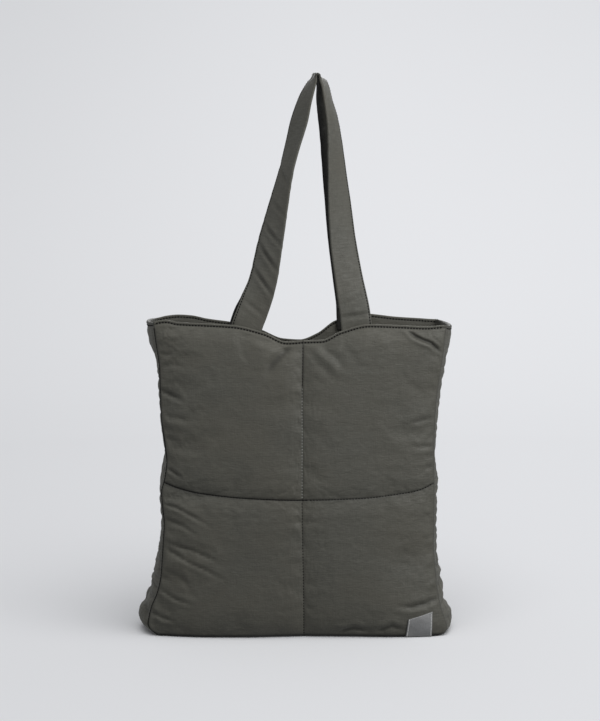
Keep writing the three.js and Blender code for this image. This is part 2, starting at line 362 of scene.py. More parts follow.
# the studio: camera, pale floor with a round sweep behind it, and soft light from the right
studio = {
    "aim": (-0.0194, 0.0, -0.3431),
    "azimuth": -2.5,
    "elevation": 6.9,
    "distance": 3.0,
    "lens": 123.79,
    "floorRings": (0.0, 0.4, 0.9, 1.6),
    "sweepRadius": 5.0,
    "sweepSteps": 40,
    "wallHeight": 9.0,
    "wallSides": 96,
    "floorColour": (0.92, 0.925, 0.945),
    # painted shade: the upright wall is painted darker than the floor
    "wallColour": (0.515, 0.519, 0.533),
    "dimmed": (-1.1, 0.5, 0.84, 1),  # painted shade, darker to the left; from left to right: places, then shares of its colour
    "roughness": 0.9,
    "gloss": 0.1,
    "skyColour": (0.95, 0.97, 1.0),
    "skyStrength": 0.3,
    # large far softboxes: where the light comes from, strength, degrees across, what it shines on
    "farLamps": {
        "sweepSoftbox": ((0.15, -0.46, 0.88), 1.93, 64, "sweep"),
        "topSoftbox": ((0.2, -0.2, 0.95), 0.9, 75, "cloth"),
        "keySoftbox": ((0.6, -0.7, 0.4), 0.8, 50, "cloth"),
    },
    # near softboxes for the cloth: place, watts, metres across
    "nearLamps": {
        "rightSoftbox": ((0.8, -0.7, 0.3), 8.6, 0.7),
        "leftFill": ((-0.8, -0.3, 0.1), 1.8, 0.6),
        "backFill": ((0.1, 1.2, 0.3), 7.5, 0.8),
    },
}
lit = {word: bpy.data.collections.new("lit" + word.title()) for word in ("cloth", "sweep")}


def addLamp(name, kind, strength, comesFrom, shinesOn):
    lamp = addObject(name, bpy.data.lights.new(name, kind))
    lamp.data.energy = strength
    lamp.rotation_euler = Vector(comesFrom).to_track_quat("Z", "Y").to_euler()
    lamp.light_linking.receiver_collection = lit[shinesOn]
    return lamp


def buildStudio():
    azimuth, elevation = radians(studio["azimuth"]), radians(studio["elevation"])
    back = Vector((cos(elevation) * sin(azimuth), -cos(elevation) * cos(azimuth), sin(elevation)))
    camera = addObject("photoCamera", bpy.data.cameras.new("photoCamera"))
    camera.data.lens = studio["lens"]
    camera.location = Vector(studio["aim"]) + back * studio["distance"]
    camera.rotation_euler = (-back).to_track_quat("-Z", "Y").to_euler()
    scene.camera = camera

    # floor colour where it lies flat, the darker wall colour where it stands upright, both dimmer to the left as
    # painted shade
    paint, add, surface = newMaterial("paleSweep")
    spot = add("NewGeometry", {})
    flatShare = add("Math", {0: add("SeparateXYZ", {0: spot["Normal"]})["Z"]}, operation="ABSOLUTE")[0]
    colours = {0: flatShare, 6: opaque(studio["wallColour"]), 7: opaque(studio["floorColour"])}
    across = add("SeparateXYZ", {0: spot["Position"]})["X"]
    dimming = dict(zip(rangeSockets, (across, *studio["dimmed"])))
    dimmed = {
        0: add("Mix", colours, data_type="RGBA")[2],
        "Scale": add("MapRange", dimming, interpolation_type="SMOOTHSTEP")["Result"],
    }
    surface({
        "Base Color": add("VectorMath", dimmed, operation="SCALE")[0],
        "Roughness": studio["roughness"],
        "Specular IOR Level": studio["gloss"],
    })

    # turned profile: flat floor, quarter round, upright wall
    flat, s = studio["floorRings"], studio["sweepRadius"]
    profile = [(r, 0.0) for r in flat]
    bends = np.linspace(0, pi / 2, studio["sweepSteps"] + 1)[1:]
    profile += [(flat[-1] + s * sin(a), s - s * cos(a)) for a in bends] + [(flat[-1] + s, studio["wallHeight"])]
    around = np.linspace(0, 2 * pi, studio["wallSides"] + 1)
    rings = np.array([[(r * cos(t), r * sin(t), z - bag["hangHeight"]) for t in around] for r, z in profile])
    for name, part in (("studioFloor", rings[:len(flat)]), ("studioWall", rings[len(flat) - 1:])):
        sweep = addObject(name, newMesh(name, part, gridFaces(gridIds(part))[:, ::-1]))
        sweep.data.materials.append(paint)
        lit["sweep"].objects.link(sweep)
        # seen and shaded, but the sky's light comes through it to the cloth
        sweep.visible_diffuse = sweep.visible_glossy = False
        sweep.visible_shadow = name == "studioFloor"

    world = bpy.data.worlds.new("studioWorld")
    world.use_nodes = True
    sky = world.node_tree.nodes["Background"]
    sky.inputs["Color"].default_value = opaque(studio["skyColour"])
    sky.inputs["Strength"].default_value = studio["skyStrength"]
    scene.world = world
    for name, (comesFrom, strength, angle, shinesOn) in studio["farLamps"].items():
        addLamp(name, "SUN", strength, comesFrom, shinesOn).data.angle = radians(angle)
    for name, (place, watts, size) in studio["nearLamps"].items():
        lamp = addLamp(name, "AREA", watts, Vector(place) - Vector(studio["aim"]), "cloth")
        lamp.location = place
        lamp.data.size = size
    scene.view_settings.view_transform = "Standard"


buildStudio()
print("studio: camera, floor, sweep and lights are set")


# crinkled nylon: slubs along the weft, warp threads, crumple, rubbed edges, and painted shade from the shade attribute
def nylonMaterial(name, look):
    material, add, surface = newMaterial(name)
    place = add("UVMap", {}, uv_map="cloth")["UV"]

    # noise with one blotch per given width and height of cloth
    def thread(size, detail, roughness, distortion):
        stretched = add("Mapping", {"Vector": place, "Scale": (1 / size[0], 1 / size[1], 1)})["Vector"]
        noise = {"Scale": 1, "Detail": detail, "Roughness": roughness, "Distortion": distortion, "Vector": stretched}
        return add("TexNoise", noise, noise_dimensions="2D")["Fac"]

    def spread(source, *ends):
        return add("MapRange", dict(zip(rangeSockets, (source, *ends))))["Result"]

    def tinted(factor, first, second):
        return add("Mix", {0: factor, 6: first, 7: second}, data_type="RGBA")[2]

    slub = thread(look["slub"], 3, 0.6, 0.3)
    warp = thread(look["warp"], 2, 0.5, 0)
    crumple = thread(look["crumple"], 4, 0.55, 0.6)
    patch = thread(look["patchSize"], 2, 0.5, 0)

    base, contrast, roughness = look["colour"], look["contrast"], look["roughness"]
    colour = tinted(spread(slub, 0.3, 0.7, 0, 1), opaque(base, 1 - contrast), opaque(base, 1 + contrast))
    colour = tinted(spread(warp, 0.35, 0.65, 0, look["warpShare"]), colour, opaque(base, look["warpTone"]))
    patched = opaque([c * k for c, k in zip(base, look["patch"])])
    colour = tinted(spread(patch, 0.3, 0.7, 0, look["patchShare"]), colour, patched)
    worn, shade = (add("Attribute", {}, attribute_name=word)["Fac"] for word in ("worn", "shade"))
    colour = tinted(spread(worn, 0, 1, 0, look["wornShare"]), colour, opaque(base, look["worn"]))
    # painted shade: the shade attribute darkens the colour towards shadeTone
    colour = tinted(shade, colour, opaque(base, look["shadeTone"]))

    normal = None
    for source, height in ((crumple, look["crumpleHeight"]), (slub, look["slubHeight"]), (warp, look["warpHeight"])):
        relief = {"Strength": 1, "Distance": height, "Height": source}
        if normal:
            relief["Normal"] = normal
        normal = add("Bump", relief)["Normal"]
    surface({
        "Base Color": colour,
        "Roughness": spread(slub, 0.3, 0.7, roughness + look["dull"], roughness - look["dull"]),
        "Normal": normal,
        "Specular IOR Level": look["gloss"],
        "Sheen Weight": look["sheen"],
        "Sheen Roughness": look["sheenRoughness"],
        "Sheen Tint": opaque(look["sheenTint"]),
    })
    return material


paddedLook = {
    "colour": (0.075, 0.0735, 0.0615),
    "contrast": 0.13,
    "slub": (10 * mm, 1.6 * mm),  # long and low blotches, in the cloth's own metres
    "warp": (1.3 * mm, 16 * mm),
    "crumple": (13 * mm, 8 * mm),
    "patchSize": (90 * mm, 70 * mm),
    "warpShare": 0.4,
    "warpTone": 0.8,
    "patch": (1.06, 1.0, 0.93),
    "patchShare": 0.35,
    "worn": 1.5,
    "wornShare": 0.4,
    # colour of the painted shade, as a share of the base colour
    "shadeTone": 0.04,
    "roughness": 0.6,
    "dull": 0.07,  # how far the slubs change the roughness
    "slubHeight": 0.2 * mm,
    "warpHeight": 0.09 * mm,
    "crumpleHeight": 0.5 * mm,
    "gloss": 0.3,
    "sheen": 0.12,
    "sheenRoughness": 0.45,
    "sheenTint": (0.9, 0.9, 0.86),
}
strapLook = {
    **paddedLook,
    "colour": (0.075, 0.074, 0.0625),
    "slub": (12 * mm, 2 * mm),
    "crumple": (10 * mm, 12 * mm),
    "slubHeight": 0.12 * mm,
    "crumpleHeight": 0.6 * mm,
}
labelLook = {
    **paddedLook,
    "colour": (0.197, 0.197, 0.196),
    "contrast": 0.08,
    "slub": (7 * mm, 0.7 * mm),
    "warp": (0.7 * mm, 6 * mm),
    "crumple": (9 * mm, 7 * mm),
    "patch": (0.96, 1.0, 1.05),
    "roughness": 0.55,
    "slubHeight": 0.12 * mm,
    "crumpleHeight": 0.25 * mm,
    "gloss": 0.4,
}
paddedNylon = nylonMaterial("paddedNylon", paddedLook)
strapNylon = nylonMaterial("strapNylon", strapLook)
wovenLabel = nylonMaterial("wovenLabel", labelLook)

# sewing thread; the dark thread is near black, a painted shade of the pits its stitches lie in
threadLook = {
    "colours": {"pale": (0.36, 0.365, 0.34), "dark": (0.006, 0.006, 0.0055), "label": (0.55, 0.55, 0.54)},
    "plyLines": 900,
    "plyTones": (0.7, 1.2),
    "roughness": 0.6,
    "gloss": 0.1,
}


# twisted thread: slanting ply lines on a plain colour
def threadMaterial(name, colour):
    material, add, surface = newMaterial(name)
    place = add("UVMap", {}, uv_map="cloth")["UV"]
    ply = add("TexWave", {"Vector": place, "Scale": threadLook["plyLines"]}, bands_direction="DIAGONAL")["Fac"]
    low, high = (opaque(colour, tone) for tone in threadLook["plyTones"])
    surface({
        "Base Color": add("Mix", {0: ply, 6: low, 7: high}, data_type="RGBA")[2],
        "Roughness": threadLook["roughness"],
        "Specular IOR Level": threadLook["gloss"],
    })
    return material


threads = {word: threadMaterial(word + "Thread", colour) for word, colour in threadLook["colours"].items()}


def dress(piece, material):
    piece.data.materials.append(material)
    lit["cloth"].objects.link(piece)
    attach(piece, "root")


stitch = {
    # places along it, with the share of its girth at each
    "stops": [(-1, 0.12), (-0.86, 0.62), (-0.45, 0.97), (0, 1), (0.45, 0.97), (0.86, 0.62), (1, 0.12)],
    "sides": 6,
    "flattened": 0.8,
    "dip": 0.35,  # its ends go down into the cloth
    "lift": 0.12 * mm,
    "clear": 0.7,  # share of a pitch that stays free at both ends of a row
}


# one row of stitches along a path on the cloth; normals point out of the cloth
def stitchRow(name, path, normals, kind, slotName, pitch, length, radius):
    travel = travelAlong(path)
    at = np.arange(stitch["clear"] * pitch, travel[-1] - stitch["clear"] * pitch, pitch)
    centre, out = readPath(at, travel, path), unit(readPath(at, travel, normals))
    along = unit(readPath(at + length / 2, travel, path) - readPath(at - length / 2, travel, path))
    across = unit(np.cross(out, along))
    out = np.cross(along, across)
    points, flat = [], []
    for share, girth in stitch["stops"]:
        lift = stitch["lift"] - stitch["dip"] * radius * abs(share) ** 3
        for a in np.arange(stitch["sides"]) * 2 * pi / stitch["sides"]:
            aside, above = girth * radius * cos(a), girth * radius * stitch["flattened"] * sin(a) + lift
            points.append(centre + along * (share * length / 2) + across * aside + out * above)
            flat.append(np.stack([at + share * length / 2, np.full_like(at, a * radius)], -1))
    points, flat = np.stack(points, 1), np.stack(flat, 1)
    ids = np.arange(points.shape[1]).reshape(-1, stitch["sides"])
    caps = [end[corners] for end in (ids[0, ::-1], ids[-1]) for corners in ([0, 1, 2, 3], [0, 3, 4, 5])]
    one = np.concatenate([gridFaces(np.concatenate([ids, ids[:, :1]], 1)), np.array(caps)])
    faces = (one[None] + (np.arange(len(at)) * ids.size)[:, None, None]).reshape(-1, 4)
    dress(newPiece(name, points.reshape(-1, 3), faces, flat.reshape(-1, 2)), threads[kind])


# quilted panels; the front one carries the folds that the picture shows
panel = {
    "sideSquares": 52,  # cloth squares from the upright seam to each side, doubled after settling
    "lowerSquares": 51,
    "upperSquares": 56,
    "crossShare": 0.47,
    "crossHalf": 162 * mm,  # half the body's width at the cross seam
    "hem": 2.4 * mm,
    "padOut": 7 * mm,
    "padIn": 2.5 * mm,
    "lip": 1.2 * mm,
    "hemStitch": 1.9 * mm,  # below the round edge
    "hemDitch": (0.5 * mm, 1.3 * mm),  # depth and half width
    "paleBelow": 305 * mm,
    "dottedFrom": 10 * mm,
    "stitchPitch": 3.6 * mm,
    "uprightSeam": tableOf("height front back", [
        (0, 3, -2), (97, 1.3, -1), (170, 0, 0), (290, 0, 1), (380, 1.5, 2),
    ]),
    "crossSeam": tableOf("across height", [
        (-163, 190), (-145, 183), (-121, 177.5), (-62, 172), (0, 170),
        (69, 171), (118, 175), (142, 178.5), (161, 186),
    ]),
    "uprightPinch": {
        "height": np.array([0, 60, 150, 175, 240, 310, 380]) * mm,
        "depth": np.array([0.7, 0.55, 0.5, 0.55, 0.5, 0.75, 1.0]),
    },
    "crossPinch": {"share": (-1, -0.6, 0, 0.5, 1), "depth": (1, 0.72, 0.5, 0.4, 0.6)},
    "crossShade": {"share": (-1, -0.5, 0, 0.4, 0.75, 1), "shade": (1, 0.95, 0.8, 0.6, 0.65, 0.9)},
    "drawnIn": {"upright": 13 * mm, "cross": 12 * mm, "side": 16 * mm, "foot": 16 * mm, "rim": 11 * mm},
    # soft ripples: width and height of one in mm, lean, how far it stands out in mm, step of the seed
    "ripples": {
        "slub": (30, 5, 0, 0.16, 1),
        "gather": (55, 6.5, 25, 1, 3),
        "broadGather": (40, 13, 0, 0.6, 4),
        "wave": (62, 44, 0, 0.7, 5),
        "pucker": (40, 5.5, 0, 0.8, 2),
    },
    "gatherReach": 19 * mm,
    "leftGathers": 1.3,  # the left side has deeper ones
    "puckerReach": (5 * mm, 14 * mm),  # from the upright seam
    "puckered": (135 * mm, 45 * mm),  # the height with most of them, and half its span
    "footRipple": (21 * mm, 0.25 * mm),
    "jitter": 0.25 * mm,
    "cloth": {
        "stiffness": 0.25, "slack": 0.028, "pressure": 2, "frames": 26, "blur": 5, "limit": 2.5 * mm, "gain": 0.8,
    },
    # where each fold runs, as (across, height) points; half width, depth, height of its shoulder below and above
    "frontFolds": [
        ([(124, 373), (135, 364), (143, 360), (154, 355.5), (160, 350), (169, 342)], 2.2, 3.8, 1.2, 0.4),
        ([(22, 354), (39, 341), (50, 326)], 4.6, 1.5, 0.8, 0.2),
        ([(8, 347), (26, 330), (40, 312)], 5.5, 1.3, 0.1, 0.8),
        ([(-12, 355), (-34, 334), (-44, 318)], 5.5, 2.4, 0.1, 1.4),
        ([(-60, 366), (-30, 357), (-14, 355)], 4.5, 1.2, 0.8, 0.1),
        ([(-170, 345), (-152, 343)], 2.6, 1.3, 0.5, 0.4),
        ([(-168, 330), (-148, 331), (-136, 329)], 2.6, 1.1, 0.5, 0.3),
        ([(-168, 300), (-156, 296), (-140, 288)], 2.4, 2.8, 0.9, 0.6),
        ([(-167, 271), (-146, 268), (-130, 263)], 3.4, 1.2, 0.6, 0.4),
        ([(-164, 243), (-145, 240)], 3.2, 1.0, 0.5, 0.3),
        ([(-161, 207), (-152, 202), (-143, 196)], 2.3, 2.2, 0.7, 0.4),
        ([(-166, 164), (-149, 160), (-128, 149), (-112, 140)], 2.3, 1.6, 0.4, 0.3),
        ([(-165, 147), (-142, 138), (-124, 127)], 2.2, 1.4, 0.3, 0.3),
        ([(-164, 118), (-131, 109), (-110, 100), (-96, 92)], 2.2, 2.0, 0.4, 0.3),
        ([(-165, 112), (-136, 95), (-111, 84), (-92, 72)], 2.2, 2.0, 0.4, 0.4),
        ([(-167, 84), (-148, 76), (-134, 66)], 3.2, 1.2, 0.6, 0.4),
        ([(-172, 60), (-150, 48), (-130, 42)], 2.3, 1.9, 0.6, 0.3),
        ([(-182, 31), (-164, 23), (-150, 19)], 2.6, 1.8, 0.7, 0.4),
        ([(161, 267), (142, 263), (124, 260)], 2.8, 1.5, 0.6, 0.5),
        ([(160, 232), (140, 231), (128, 233)], 2.7, 1.3, 0.5, 0.5),
        ([(159, 220), (147, 221)], 2.8, 0.8, 0.4, 0.3),
        ([(160, 207), (148, 206)], 2.8, 0.8, 0.4, 0.3),
        ([(160, 150), (146, 147)], 3.0, 0.7, 0.3, 0.3),
        ([(159, 122), (144, 118)], 3.0, 0.7, 0.3, 0.3),
        ([(167, 48), (148, 41), (130, 38), (112, 40)], 3.0, 2.3, 0.9, 0.6),
        ([(162, 72), (146, 64)], 3.2, 0.8, 0.4, 0.3),
        ([(44, 6), (62, 12), (84, 8)], 3.4, 2.4, 0.2, 0.9),
        ([(90, 8), (108, 15), (124, 9)], 3.4, 2.2, 0.2, 0.9),
    ],
    "backFolds": [
        ([(-168, 352), (-146, 358), (-128, 368)], 3.6, 1.8, 0.7, 0.3),
        ([(166, 322), (146, 316), (128, 318)], 3.8, 1.3, 0.6, 0.4),
        ([(20, 342), (38, 330), (50, 312)], 5.5, 1.2, 0.8, 0.2),
        ([(-18, 340), (-36, 324), (-44, 306)], 5.5, 1.2, 0.8, 0.2),
        ([(-163, 240), (-144, 236)], 3.6, 1.0, 0.4, 0.4),
        ([(160, 258), (140, 250), (124, 246)], 3.8, 1.2, 0.5, 0.4),
        ([(161, 132), (138, 122), (116, 108)], 4.2, 1.8, 1.0, 0.4),
        ([(-162, 122), (-138, 114), (-120, 102)], 4.2, 1.6, 0.9, 0.4),
        ([(163, 84), (140, 78)], 3.8, 1.1, 0.5, 0.4),
        ([(-170, 52), (-146, 42), (-126, 40)], 3.8, 1.5, 0.7, 0.4),
        ([(166, 46), (146, 38)], 3.6, 1.2, 0.5, 0.4),
    ],
}


# how far a list of folds moves the cloth out, at each place of a panel
def foldRelief(folds, across, height):
    relief = np.zeros_like(across)
    for points, reach, depth, below, above in folds:
        line = np.array(points, float) * mm
        runs = np.linalg.norm(np.diff(line, axis=0), axis=1)
        nearest = np.full(across.shape, 9.0)
        aside, travel = np.zeros_like(across), np.zeros_like(across)
        start = 0.0
        for (x0, z0), (x1, z1), run in zip(line[:-1], line[1:], runs):
            dx, dz = (x1 - x0) / run, (z1 - z0) / run
            t = (across - x0) * dx + (height - z0) * dz
            on = np.clip(t, 0, run)
            gap = np.hypot(across - x0 - on * dx, height - z0 - on * dz)
            side = np.sign((across - x0) * -dz + (height - z0) * dx) * np.sign(dx)  # above the line is plus
            better = gap < nearest
            nearest = np.where(better, gap, nearest)
            aside = np.where(better, gap * side, aside)
            travel = np.where(better, start + t, travel)
            start += run
        fade = ease(-0.12 * start, 0.22 * start, travel) * (1 - ease(0.6 * start, 1.12 * start, travel))
        w = reach * mm
        shoulders = below * bump(aside + 2 * w, 1.2 * w) + above * bump(aside - 2 * w, 1.2 * w)
        relief += fade * mm * (shoulders - depth * bump(aside, w))
    return relief


# steps from 0 to 1 that are closer together at both ends
def closeAtEnds(steps):
    t = np.linspace(0, 1, steps + 1)
    return t - 0.5 * np.sin(2 * pi * t) / (2 * pi)


# the share of its loft that the cloth keeps at a distance from a seam
def drawn(distance, seam, depth=1):
    distance = np.abs(distance)
    pinch = 0.55 * bump(distance, panel["drawnIn"][seam])
    pinch = pinch + 0.25 * np.exp(-distance / (3 * mm)) + 0.2 * np.exp(-distance / (0.9 * mm))
    return 1 - depth * pinch


# where every point of a panel is, before its padding
def panelSheet(side, times):
    share = panel["crossShare"]
    lower = share * closeAtEnds(panel["lowerSquares"] * times)
    upper = share + (1 - share) * closeAtEnds(panel["upperSquares"] * times)[1:]
    up = np.concatenate([lower, upper])[:, None]
    level = up * bag["rimHeight"]
    left, right = outlineAt(level, "left"), outlineAt(level, "right")
    seam = readTable(panel["uprightSeam"], "height", level, side)
    t = closeAtEnds(panel["sideSquares"] * times)
    across = np.concatenate([-left + (seam + left) * t, seam + (right - seam) * t[1:]], axis=1)
    width = np.where(across < 0, left, right)
    sideShare = across / width
    topWidth = np.where(across < 0, left[-1], right[-1])
    rimAt = bag["rimHeight"] - panel["lip"] + readTable(bag["rim"], "across", sideShare * topWidth, side)
    crossAt = readTable(panel["crossSeam"], "across", sideShare * panel["crossHalf"], "height")
    height = np.where(up <= share, up / share * crossAt, crossAt + (up - share) / (1 - share) * (rimAt - crossAt))
    wall = bag["halfDepth"] + outlineAt(level, "bow") * (1 - sideShare ** 2)
    if side == "front":
        wall = wall + footStep(across, height)
    lift = readTable(bag["foot"], "across", across, "lift")
    length, rise = panel["footRipple"]
    lift = lift + rise * softNoise(across / length, 0 * across, 3)
    height = height + lift * (1 - ease(0, 12 * mm, height))

    # quilting: drawn in at the seams, the sides, the foot and the rim
    uprightDepth = readTable(panel["uprightPinch"], "height", height, "depth")
    crossDepth = np.interp(sideShare, panel["crossPinch"]["share"], panel["crossPinch"]["depth"])
    full = drawn(across - seam, "upright", uprightDepth) * drawn(height - crossAt, "cross", crossDepth)
    full *= drawn(width - np.abs(across), "side") * drawn(height, "foot")
    full *= drawn(np.maximum(rimAt - height - 3 * mm, 0), "rim")
    return {
        "across": across, "height": height, "wall": wall, "full": full, "sideShare": sideShare,
        "toSide": width - np.abs(across), "toRim": rimAt - height, "toCross": height - crossAt, "toSeam": across - seam,
    }


# wrinkles of the panel's cloth between its seams
def panelWrinkles(side, seed):
    coarse = panelSheet(side, 1)
    out = coarse["wall"] + panel["hem"] + panel["padOut"] * coarse["full"]
    jitter = np.random.default_rng(seed).normal(0, panel["jitter"], out.shape)
    start = toFrame(coarse["across"], -(out + jitter * coarse["full"]), coarse["height"])
    pins = np.zeros(out.shape, bool)
    pins[[0, panel["lowerSquares"], -2, -1]] = True
    pins[:, [0, panel["sideSquares"], -1]] = True
    slack = 0.3 + 0.7 * (1 - ease(20 * mm, 90 * mm, coarse["toSide"]))
    slack *= 1 - 0.5 * ease(-0.2, 0.9, coarse["sideShare"])  # the left side is the more gathered one
    wrinkles = np.zeros_like(out)
    settled = settleCloth(side + "_panelSettling", start, pins, slack, panel["cloth"])
    wrinkles = wrinklesIn(side + "_panel", -(settled[..., 1] - start[..., 1]), panel["cloth"])
    return panel["cloth"]["gain"] * finer(wrinkles)


def ripple(word, place, seed):
    wide, tall, lean, rise, step = panel["ripples"][word]
    x, z = place["across"], place["height"]
    return rise * mm * softNoise(x / (wide * mm), z / (tall * mm) + lean * x, seed + step)


# painted shade: how far each place of a panel lies in its own shadow
def panelShade(place, folds):
    height, sideShare = place["height"], place["sideShare"]
    upright = 0.05 + 0.3 * ease(172 * mm, 180 * mm, height) + 0.35 * ease(270 * mm, 330 * mm, height)
    cross = np.interp(sideShare, panel["crossShade"]["share"], panel["crossShade"]["shade"])
    crossReach = (1.1 + 0.9 * ease(0.4, 0.95, -sideShare)) * mm
    sides = np.where(sideShare < 0, 0.9, 0.65)
    return np.maximum.reduce([
        upright * np.exp(-np.abs(place["toSeam"]) / (0.9 * mm)),  # the seams
        cross * np.exp(-np.abs(place["toCross"]) / crossReach),
        sides * np.exp(-place["toSide"] / (0.9 * mm)),  # the sewn sides, deeper on the left
        0.4 * bump(place["toRim"] - panel["hemStitch"], 1.1 * mm),  # the hem's stitches
        0.9 * (1 - ease(1.6 * mm, 6 * mm, height)) + 0.1 * (1 - ease(0, 26 * mm, height)),  # the painted contact shadow along the foot
        0.45 * ease(0.5 * mm, 2.6 * mm, -folds),  # the hollows of the folds
    ])


def sewPanel(name, outer, inner, normals, place):
    seamColumn, crossRow = 2 * panel["sideSquares"], 2 * panel["lowerSquares"]
    columns = np.arange(outer.shape[1])
    hemRow = np.argmin(np.abs(place["toRim"] - panel["hemStitch"]), axis=0)
    change = int(np.searchsorted(place["height"][:, seamColumn], panel["paleBelow"]))
    dotted = int(np.searchsorted(place["across"][crossRow], panel["dottedFrom"]))
    # which points a row runs along, its thread, length and radius of a stitch in mm
    rows = {
        "upright_low": (slice(3, crossRow), seamColumn, "dark", 1.9, 0.75),
        "upright_middle": (slice(crossRow + 1, change + 1), seamColumn, "pale", 1.8, 0.65),
        "upright_high": (slice(change, -5), seamColumn, "dark", 2.2, 0.75),
        # painted shade: overlapping near-black stitches make one dark line along the drawn-in part of the cross seam
        "cross_drawn": (crossRow, slice(2, dotted), "dark", 4.2, 0.9),
        "cross_dotted": (crossRow, slice(dotted - 2, -2), "dark", 2.2, 0.75),
        "rim": (hemRow[2:-2], columns[2:-2], "dark", 2.6, 1.0),
        # painted shade: overlapping near-black stitches make one dark line along the left side seam
        "side": (slice(8, -4), 0, "dark", 4.4, 0.6),
        "lining": (hemRow[2:-2], columns[2:-2], "dark", 2.3, 0.8),
    }
    for word, (row, column, kind, length, radius) in rows.items():
        cloth, out = (inner, -normals) if word == "lining" else (outer, normals)
        stitchRow(
            f"{name}_{word}_stitches", cloth[row, column], out[row, column],
            kind, "padded_nylon", panel["stitchPitch"], length * mm, radius * mm,
        )


# the ditch that the hem's stitches lie in
def hemDitch(toRim):
    depth, reach = panel["hemDitch"]
    return -depth * bump(toRim - panel["hemStitch"], reach)


def buildPanel(side, seed):
    name, facing = side + "_panel", -1 if side == "front" else 1
    wrinkles = panelWrinkles(side, seed)
    place = panelSheet(side, 2)
    across, height, full = place["across"], place["height"], place["full"]
    toSide, toRim, toSeam = place["toSide"], place["toRim"], np.abs(place["toSeam"])
    folds = foldRelief(panel[side + "Folds"], across, height) * ease(0, 10 * mm, toRim)
    slubs = ripple("slub", place, seed)
    gathered = ripple("gather", place, seed) + ripple("broadGather", place, seed)
    gathered *= np.exp(-toSide / panel["gatherReach"]) * np.where(across < 0, panel["leftGathers"], 1)
    waves = ripple("wave", place, seed)
    # small puckers that the seam thread draws
    (near, far), (most, span) = panel["puckerReach"], panel["puckered"]
    pucker = ripple("pucker", place, seed) * np.exp(-toSeam / far) * ease(0, near, toSeam)
    pucker *= 0.35 + 0.65 * bump(height - most, span)
    relief = wrinkles + folds + slubs + gathered + waves + pucker
    puff = panel["padOut"] * full + relief * ease(0, 0.6, full)
    outerAway = place["wall"] + panel["hem"] + np.maximum(puff, 0) + hemDitch(toRim)
    innerAway = place["wall"] - panel["padIn"] * full - 0.5 * wrinkles * full
    outer = toFrame(across, facing * outerAway, height)
    inner = toFrame(across, facing * innerAway, height)
    worn = 0.5 * (1 - ease(0, 3.5 * mm, toRim)) + 0.5 * (1 - ease(0, 3 * mm, toSide))
    worn += 0.35 * ease(0.3 * mm, 1.6 * mm, folds + wrinkles)
    looks = (np.stack([across, height], -1), worn, panelShade(place, folds))
    piece = shell(name + "_quilt", *rolledEdge(outer, inner, True), *(carriedOut(values, True) for values in looks))
    dress(piece, paddedNylon)
    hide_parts(name)
    sewPanel(name, outer, inner, -facing * gridNormals(outer), place)
    print(f"{name}: quilt of {len(piece.data.polygons)} faces with seam and rim stitches")
    return outer, place


frontOuter, frontPlace = buildPanel("front", 11)
buildPanel("back", 23)


# the gathered strip that runs down one side, under the base and up the other side
gusset = {
    "spacing": 4.4 * mm,  # cloth squares, halved after settling
    "columns": 22,
    "seamLap": 0.25 * mm,  # the panels' edges are sewn over it
    "thickness": 2.4 * mm,
    "pad": 2.6 * mm,
    "basePad": 1.6 * mm,
    "gatherPitch": 13 * mm,
    "gathers": tableOf("height left right", [
        (0, 1.5, 1.5), (20, 3.0, 2.4), (60, 3.4, 2.3), (110, 2.7, 1.9),
        (160, 1.4, 1.8), (250, 1.1, 2.0), (320, 1.2, 1.5), (380, 0.5, 0.6),
    ]),
    # how the ribs wander and how uneven they are: amount, length in mm, change across, start, step of the seed
    "wander": ((0.8, 37, 0.7, 8, 0), (0.3, 15, 1.1, 4, 1)),
    "uneven": (0.5, 21, 1.2, 3, 2),
    "lip": 1.2 * mm,
    "rimRise": {"left": (5, 2.5, 0), "right": (0, -4, -2.5)},  # mm at its front, middle and back
    "stitch": (3.6 * mm, 2.3 * mm, 0.8 * mm),  # pitch, length and radius
    "jitter": 0.2 * mm,
    "cloth": {
        "stiffness": 0.2, "slack": 0.05, "pressure": 0.5, "frames": 24, "blur": 5, "limit": 2 * mm, "gain": 0.7,
    },
}


def gussetStrip(count):
    levels = np.linspace(bag["rimHeight"] - bag["sideDrop"] - gusset["lip"], 0, 3000)
    left = np.stack([-outlineAt(levels, "left"), levels, outlineAt(levels, "leftOut")], -1)
    right = np.stack([outlineAt(levels, "right"), levels, outlineAt(levels, "rightOut")], -1)[::-1]
    bottom = np.linspace(left[-1], right[0], 600)[1:-1]
    track = np.concatenate([left, bottom, right])
    travel = travelAlong(track[:, :2])
    at = np.linspace(0, travel[-1], count)
    rows = readPath(at, travel, track)
    run = np.gradient(rows[:, :2], axis=0)
    return at, rows, unit(np.stack([run[:, 1], -run[:, 0]], -1))


